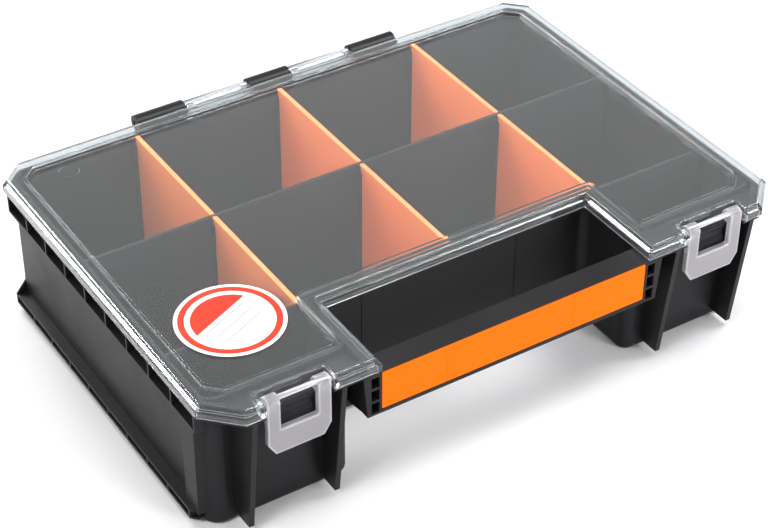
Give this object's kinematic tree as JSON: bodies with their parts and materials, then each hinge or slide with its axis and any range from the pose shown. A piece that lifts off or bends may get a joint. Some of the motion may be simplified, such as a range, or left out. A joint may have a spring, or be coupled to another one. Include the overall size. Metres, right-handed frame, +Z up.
{
  "type": "organizer case",
  "caption": "Lidded organizer case with a clear hinged lid, front latches, a carry handle set in a front notch and lift-out dividers, for sorting small parts.",
  "frame": {"origin": "middle of the overall box, at the level that the case stands on", "axes": "+Z up, +X to the right seen from the front, -Y towards the front with the handle and latches"},
  "size_m": [0.42, 0.3096, 0.105],
  "materials": {
    "tray": "fine matt moulding texture",
    "clear": "clear moulded plastic",
    "latch": "frosted clear plastic",
    "steel": "drawn rod",
    "strip": "satin coloured plastic",
    "divider": "satin coloured plastic",
    "label": "printed paper film"
  },
  "bodies": {
    "base": {"base_tray": "tray", "hinge_pin": "steel", "handle_insert": "strip", "divider_back_left": "divider", "divider_back_centre": "divider", "divider_back_right": "divider", "divider_front_left": "divider", "divider_front_centre": "divider", "divider_front_right": "divider"},
    "lid": {"lid": "clear", "round_label": "label"},
    "latch_left": {"latch_left": "latch"},
    "latch_right": {"latch_right": "latch"}
  },
  "joints": [
    {"name": "lid_hinge", "type": "hinge", "parent": "base", "child": "lid", "pos_m": [0, 0.14875, 0.098], "axis": [-1, 0, 0], "range_deg": [0, 115]},
    {"name": "latch_left_pivot", "type": "hinge", "parent": "lid", "child": "latch_left", "pos_m": [-0.1525, -0.14775, 0.1004], "axis": [-1, 0, 0], "range_deg": [0, 100]},
    {"name": "latch_right_pivot", "type": "hinge", "parent": "lid", "child": "latch_right", "pos_m": [0.1525, -0.14775, 0.1004], "axis": [-1, 0, 0], "range_deg": [0, 100]}
  ]
}
